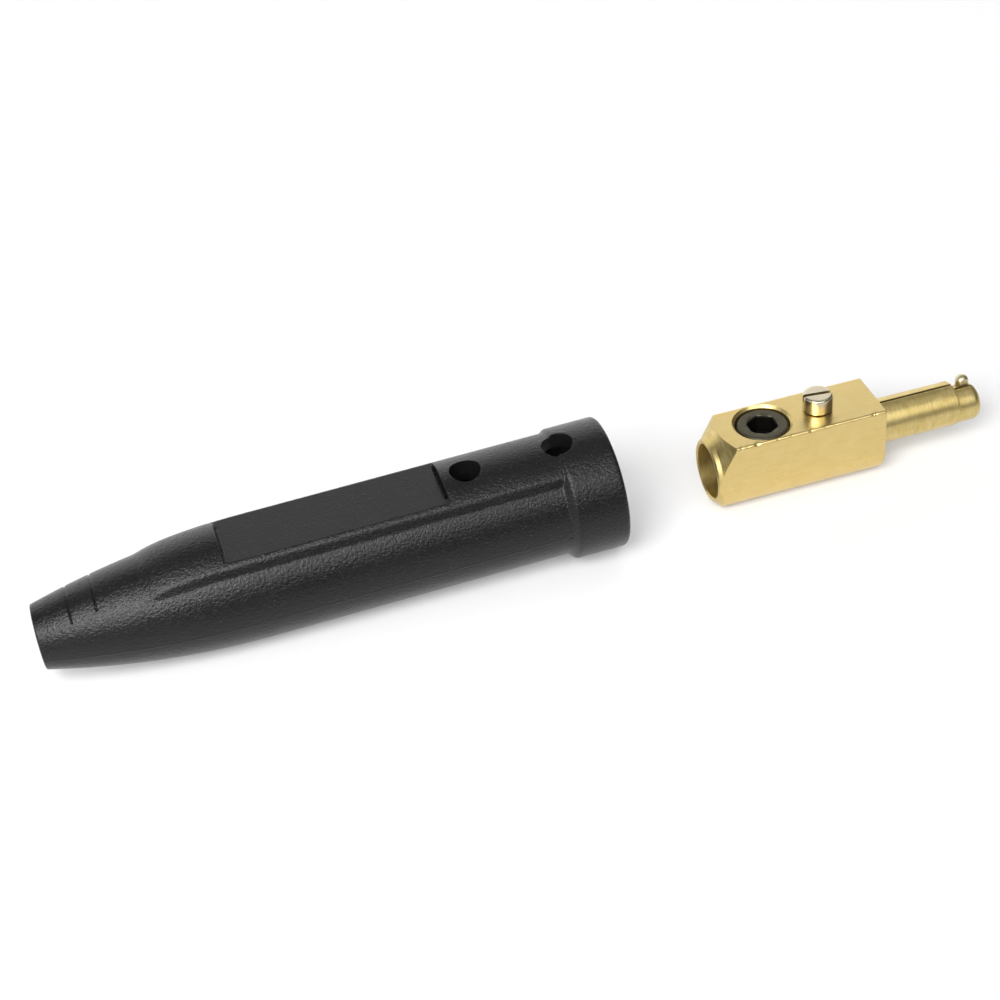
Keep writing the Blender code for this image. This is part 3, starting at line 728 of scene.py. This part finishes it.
cut_away(plug, slab(
    "saw_cut",
    (tip_x - SAW_LENGTH, PLUG_Y - SAW_WIDTH / 2, pin_z - 9.0),
    (tip_x + PAST_SURFACE, PLUG_Y + SAW_WIDTH / 2, pin_z + 9.0),
))
finished(plug, 30)

DRAWN_DEEP = (0.67, 0.51, 0.20)
DRAWN_PALE = (0.72, 0.56, 0.25)
TURNED_DEEP = (0.54, 0.41, 0.14)
TURNED_PALE = (0.72, 0.58, 0.27)
MARK_HEIGHT = 0.00004


def drawn_out(tree, place, scale):
    """A place scaled along each axis, so that noise read there is drawn out along the
    axes whose scale is small."""
    mapping = node(tree, "ShaderNodeMapping", Scale=scale)
    tree.links.new(place, mapping.inputs["Vector"])
    return mapping.outputs["Vector"]


def combined(tree, operation, first, second):
    """Two numbers from other nodes put through one arithmetic operation."""
    maths = node(tree, "ShaderNodeMath", operation=operation)
    tree.links.new(first, maths.inputs[0])
    tree.links.new(second, maths.inputs[1])
    return maths.outputs[0]


def brass_finish(name, scale, deep, pale, gloss_low, mark_lift):
    """Machined brass: fine marks run along the axes whose scale is small, the tone
    shifts a little from patch to patch, and the gloss with the marks."""
    material, tree, shader, place = new_finish(name)
    link = tree.links.new
    marks = noise(tree, drawn_out(tree, place, scale), 1.0, 3.0)
    patches = noise(tree, place, 260.0, 5.0)
    shift = carried(tree, combined(tree, "MULTIPLY", patches, marks), 0.12, 0.40)
    link(tinted(tree, shift, deep, pale), shader.inputs["Base Color"])
    gloss = carried(tree, marks, 0.3, 0.7, gloss_low, gloss_low + 0.10)
    link(gloss, shader.inputs["Roughness"])
    shader.inputs["Metallic"].default_value = 1.0
    link(raised(tree, marks, mark_lift, MARK_HEIGHT), shader.inputs["Normal"])
    return material


middle, normal = face_places(plug)
off_bore = np.hypot(middle[:, 1] - PLUG_Y, middle[:, 2] - BORE_Z)
was_turned = (np.abs(normal[:, 0]) > 0.1) | (off_bore < BAR_HALF - 0.1)
was_turned |= middle[:, 0] > PLUG_X + BAR_LENGTH - 0.1
dress(plug, [
    brass_finish("drawn_brass", (90.0, 2000.0, 2000.0), DRAWN_DEEP, DRAWN_PALE, 0.26, 0.05),
    brass_finish("turned_brass", (2200.0, 300.0, 300.0), TURNED_DEEP, TURNED_PALE, 0.34, 0.45),
], was_turned)
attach(plug, "connector")
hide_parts("plug_body")

# Clamping screw
# A short grub screw in blackened steel that presses the cable into the bore. It has
# a fine thread, a cup point and a broached hex socket, and sits just below the top.
SET_RADIUS = 7.9
SET_TOP = -0.7
SET_LENGTH = 9.5
SET_BOTTOM = SET_TOP - SET_LENGTH
THREAD_PITCH = 1.41
THREAD_DEPTH = 0.55
HEX_FLAT = 3.97
HEX_DEPTH = 5.5
HEX_DRILL_POINT = 1.0
SOCKET_MOUTH = 4.75
SOCKET_CHAMFER = 0.45
STEEL_DARK = (0.050, 0.044, 0.026)
STEEL_PALE = (0.115, 0.103, 0.066)
# Painted shade: the hex socket's inside takes these near-black colours
SOCKET_SHADE_DARK = (0.004, 0.0035, 0.003)
SOCKET_SHADE_PALE = (0.010, 0.009, 0.007)


def hex_radius(angle):
    """Distance to a hexagon's side: the half width over the cosine of the angle from
    the middle of that side."""
    turned = np.mod(angle + math.pi / 6, math.pi / 3) - math.pi / 6
    return HEX_FLAT / np.cos(turned)


def thread(angle, height, radius, pitch, depth):
    """Radius along a screw thread: a V groove that falls by one pitch a turn."""
    wave = np.abs(np.mod(height / pitch - angle / math.tau, 1.0) * 2 - 1)
    return radius - depth * np.clip(1.25 * wave - 0.15, 0.0, 1.0)


def set_screw_rows(angle):
    """Rows from the socket's floor up its hex wall, over the face and down the
    threaded side to the cup point. Thread and chamfers meet by the lowest of them."""
    hexagon = hex_radius(angle)
    rows = [(hexagon * share, SET_TOP - HEX_DEPTH - 0.8 * (1 - share)) for share in (0.3, 0.7, 1.0)]
    rows += [(hexagon, SET_TOP - at) for at in np.linspace(HEX_DEPTH, SOCKET_CHAMFER, 8)[1:]]
    rows += [
        (hexagon + (SOCKET_MOUTH - hexagon) * share, SET_TOP - SOCKET_CHAMFER * (1 - share))
        for share in (0.5, 1.0)
    ]
    rows += [(out, SET_TOP) for out in (5.6, 6.6, 7.1)]
    for at in np.linspace(0.0, SET_LENGTH, 90)[1:-1]:
        side = thread(angle, -at, SET_RADIUS, THREAD_PITCH, THREAD_DEPTH)
        top_edge = 7.2 + 0.9 * at
        point = 6.3 + (SET_LENGTH - at)
        rows.append((np.minimum(side, min(top_edge, point)), SET_TOP - at))
    rows += [(out, SET_BOTTOM + deep) for out, deep in ((6.2, 0.0), (5.2, 0.6), (3.0, 1.4))]
    return rows


set_angle = circle(144)
set_screw = stand_on_bar(
    "hex_socket_screw", (SET_SCREW_AT, 0.0), set_angle, set_screw_rows(set_angle),
    (SET_TOP - HEX_DEPTH - HEX_DRILL_POINT, SET_BOTTOM + 1.6),
)
finished(set_screw, 32)


def black_steel_finish(name, dark, pale, roughness):
    """Blackened steel: nearly black and half dull, with a greenish cast and fine
    mottling, and paler where it has rubbed."""
    material, tree, shader, place = new_finish(name)
    mottle = noise(tree, place, 900.0, 4.0)
    tree.links.new(tinted(tree, mottle, dark, pale), shader.inputs["Base Color"])
    shader.inputs["Metallic"].default_value = 0.8
    shader.inputs["Roughness"].default_value = roughness
    tree.links.new(raised(tree, mottle, 0.2, 0.00003), shader.inputs["Normal"])
    return material


middle, normal = face_places(set_screw)
off_screw = np.hypot(middle[:, 0] - PLUG_X - SET_SCREW_AT, middle[:, 1] - PLUG_Y)
above_bore = middle[:, 2] - BORE_Z
in_socket = (off_screw < SOCKET_MOUTH) & (above_bore > 4.0) & (above_bore < BAR_TOP + SET_TOP - 0.3)
# The hex socket's inside is painted near black as shade in the recess
dress(set_screw, [
    black_steel_finish("blackened_steel", STEEL_DARK, STEEL_PALE, 0.42),
    black_steel_finish("socket_painted_shade", SOCKET_SHADE_DARK, SOCKET_SHADE_PALE, 0.60),
], in_socket)
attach(set_screw, "set_screw")
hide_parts("set_screw")

# Retaining screw
# A slotted cheese-head screw in zinc-plated steel. It stands proud of the bar, and
# its head catches in the sleeve's hole once the plug has been pushed home.
HEAD_RADIUS = 4.4
HEAD_HEIGHT = 5.0
HEAD_SEAT = 0.3
HEAD_TOP = HEAD_SEAT + HEAD_HEIGHT
HEAD_ROUND = 0.6
SHANK_RADIUS = 2.4
SHANK_LENGTH = 6.0
SHANK_PITCH = 0.9
SHANK_THREAD_DEPTH = 0.32
SHANK_POINT = 1.6
SLOT_WIDTH = 1.2
SLOT_DEPTH = 2.0
SLOT_TURN = math.radians(-7.5)
ZINC_DARK = (0.48, 0.43, 0.30)
ZINC_PALE = (0.66, 0.60, 0.45)


def retaining_rows(angle):
    """Rows from the head's top over its rounded edge, in under it and down the
    threaded shank."""
    rows = [(out, HEAD_TOP) for out in (0.8, 2.0, 3.2)]
    rows += [
        (HEAD_RADIUS - HEAD_ROUND * (1 - math.sin(bend)), HEAD_TOP - HEAD_ROUND * (1 - math.cos(bend)))
        for bend in quarter(6, 0, 90)
    ]
    rows += [(HEAD_RADIUS, up) for up in np.linspace(HEAD_TOP - 1.2, HEAD_SEAT + 0.2, 6)]
    rows += [(HEAD_RADIUS - 0.2, HEAD_SEAT), (SHANK_RADIUS, HEAD_SEAT)]
    for at in np.linspace(0.0, SHANK_LENGTH, 60)[:-1]:
        side = thread(angle, -at, SHANK_RADIUS, SHANK_PITCH, SHANK_THREAD_DEPTH)
        rows.append((np.minimum(side, SHANK_POINT + 0.1 + (SHANK_LENGTH - at)), -at))
    rows.append((SHANK_POINT, -SHANK_LENGTH))
    return rows


screw_angle = circle(96)
retaining = stand_on_bar(
    "slotted_screw", (RETAINING_AT, 0.0), screw_angle, retaining_rows(screw_angle),
)
slot_cutter = slab(
    "driver_slot", (-6.0, -SLOT_WIDTH / 2, HEAD_TOP - SLOT_DEPTH),
    (6.0, SLOT_WIDTH / 2, HEAD_TOP + PAST_SURFACE),
)
slot_place = Matrix.Translation(Vector((PLUG_X + RETAINING_AT, PLUG_Y, BORE_Z + BAR_TOP)) * MM)
slot_cutter.data.transform(slot_place @ Matrix.Rotation(SLOT_TURN, 4, "Z"))
cut_away(retaining, slot_cutter, "MANIFOLD")
finished(retaining, 32)


def zinc_finish():
    """Bright zinc over steel, with a faint warm cast and fine turning marks."""
    material, tree, shader, place = new_finish("zinc_plate")
    marks = noise(tree, drawn_out(tree, place, (1.0, 1.0, 26.0)), 220.0, 3.0)
    tree.links.new(tinted(tree, marks, ZINC_DARK, ZINC_PALE), shader.inputs["Base Color"])
    shader.inputs["Metallic"].default_value = 1.0
    shader.inputs["Roughness"].default_value = 0.24
    tree.links.new(raised(tree, marks, 0.1, 0.00003), shader.inputs["Normal"])
    return material


dress(retaining, [zinc_finish()])
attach(retaining, "retaining_screw")
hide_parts("retaining_screw")

# Locking lug
# A short steel dowel pressed into one half of the split pin's tip, crowned on top
# and sawn flush with the slot. It turns behind a catch in the female connector.
LUG_RADIUS = 2.0
LUG_HEIGHT = 3.0
LUG_SEAT = 3.0
LUG_CROWN = 1.9
LUG_EDGE_ROUND = 0.12
# The steel's tone, with a warm tint painted in as reflection of the brass around it
LUG_DARK = (0.52, 0.45, 0.28)
LUG_PALE = (0.72, 0.63, 0.42)


def lug_rows(angle):
    """Rows up the dowel. Its outline is a circle cut by a line, the lower of R and
    D / cosine, and the crown shrinks it as a quarter ellipse."""
    toward_slot = -np.sin(angle)
    to_slot = (LUG_OFF - SAW_WIDTH / 2) / np.maximum(toward_slot, 0.05)
    flat = np.where(toward_slot > 0.05, to_slot, 100.0)
    outline = lower(LUG_RADIUS, flat, LUG_EDGE_ROUND)
    bottom, shoulder = LUG_BASE - LUG_SEAT, LUG_BASE + LUG_HEIGHT - LUG_CROWN
    rows = [(outline * 0.6, bottom), (outline * 0.97, bottom)]
    rows += [(outline, up) for up in np.linspace(bottom + 0.1, shoulder, 18)]
    rows += [
        (np.minimum(outline, LUG_RADIUS * math.cos(bend)), shoulder + LUG_CROWN * math.sin(bend))
        for bend in quarter(12, 0, 84)[1:]
    ]
    return rows


lug = stand_on_bar(
    "locking_dowel", (LUG_AT, LUG_OFF), screw_angle, lug_rows(screw_angle),
    (LUG_BASE - LUG_SEAT, LUG_BASE + LUG_HEIGHT),
)
finished(lug, 35)


def lug_finish():
    """Plain steel, turned and sawn, with a warm tint painted in as reflection of the brass around it.
    """
    material, tree, shader, place = new_finish("turned_steel")
    scuff = noise(tree, place, 1400.0, 4.0)
    tree.links.new(tinted(tree, scuff, LUG_DARK, LUG_PALE), shader.inputs["Base Color"])
    shader.inputs["Metallic"].default_value = 1.0
    shader.inputs["Roughness"].default_value = 0.36
    return material


dress(lug, [lug_finish()])
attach(lug, "connector")
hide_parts("lock_lug")

# Floor and light
# A white table top under a wide soft lamp in front and a small strong one at the left,
# with weak ones low at the left, far left and overhead, and a pale panel behind.
FLOOR_HALF = 3.0
FLOOR_EDGE = -0.21
FLOOR_NEAR_Y = -0.15
FLOOR_FAR_Y = 0.25
# Painted shade: the floor's colour is greyer near the camera, to even out the front lamps' light
FLOOR_NEAR = (0.58, 0.58, 0.585)
FLOOR_FAR = (0.88, 0.88, 0.885)
FLOOR_LIFT = 0.15
WORLD_LIGHT = 0.12


def floor_finish():
    """White paper, with shade painted into its colour towards the camera, where the front
    lamps light it most. It adds to what the lamps give it, for the camera, mirrors and
    glass alone, so that it reads white and still takes the shadow."""
    material, tree, shader, place = new_finish("white_floor")
    link = tree.links.new
    split = node(tree, "ShaderNodeSeparateXYZ")
    link(place, split.inputs["Vector"])
    depth = carried(tree, split.outputs["Y"], FLOOR_NEAR_Y, FLOOR_FAR_Y)
    link(tinted(tree, depth, FLOOR_NEAR, FLOOR_FAR), shader.inputs["Base Color"])
    shader.inputs["Roughness"].default_value = 0.9
    shader.inputs["Specular IOR Level"].default_value = 0.0
    shader.inputs["Emission Color"].default_value = (1.0, 1.0, 1.0, 1.0)
    path = node(tree, "ShaderNodeLightPath")
    seen = combined(tree, "MAXIMUM", path.outputs["Is Camera Ray"], path.outputs["Is Glossy Ray"])
    seen = combined(tree, "MAXIMUM", seen, path.outputs["Is Transmission Ray"])
    link(carried(tree, seen, 0.0, 1.0, 0.0, FLOOR_LIFT), shader.inputs["Emission Strength"])
    return material


floor_mesh = bpy.data.meshes.new("floor")
floor_mesh.from_pydata([
    (-FLOOR_HALF, FLOOR_EDGE, 0), (FLOOR_HALF, FLOOR_EDGE, 0),
    (FLOOR_HALF, FLOOR_HALF, 0), (-FLOOR_HALF, FLOOR_HALF, 0),
], [], [(0, 1, 2, 3)])
floor_mesh.materials.append(floor_finish())
floor = bpy.data.objects.new("floor", floor_mesh)
bpy.context.scene.collection.objects.link(floor)


def soft_lamp(name, place, target, size, radiance):
    """A rectangular area lamp at a place, facing a target. Its power is pi times its
    area times the radiance it shows to a mirror."""
    light = bpy.data.lights.new(name, "AREA")
    light.shape = "RECTANGLE"
    light.size, light.size_y = size
    light.energy = math.pi * size[0] * size[1] * radiance
    lamp = bpy.data.objects.new(name, light)
    bpy.context.scene.collection.objects.link(lamp)
    facing = (Vector(target) - Vector(place)).to_track_quat("-Z", "Y")
    lamp.matrix_world = Matrix.Translation(place) @ facing.to_matrix().to_4x4()


soft_lamp("front", (0.12, -0.695, 0.72), (0.12, 0.0, 0.0), (0.86, 0.70), 2.8)
soft_lamp("left_front", (-0.47, -0.56, 0.68), (-0.05, 0.0, 0.0), (0.48, 0.60), 12.0)
soft_lamp("left_low", (-0.78, -0.90, 0.15), (-0.10, 0.0, 0.02), (0.5, 0.30), 1.6)
soft_lamp("left", (-1.2, -0.1, 0.35), (0.0, 0.0, 0.05), (0.9, 0.6), 1.3)
soft_lamp("overhead", (0.0, 0.05, 1.0), (0.0, 0.0, 0.0), (1.8, 0.6), 0.5)
soft_lamp("behind", (0.05, 1.2, 0.55), (0.05, 0.0, 0.55), (2.6, 1.20), 1.35)

world = bpy.data.worlds.new("studio")
world.use_nodes = True
background = world.node_tree.nodes["Background"]
background.inputs["Color"].default_value = (1.0, 1.0, 1.0, 1.0)
path = node(world.node_tree, "ShaderNodeLightPath")
strength = carried(world.node_tree, path.outputs["Is Camera Ray"], 0.0, 1.0, WORLD_LIGHT, 1.0)
world.node_tree.links.new(strength, background.inputs["Strength"])
bpy.context.scene.world = world
bpy.context.scene.view_settings.view_transform = "Standard"
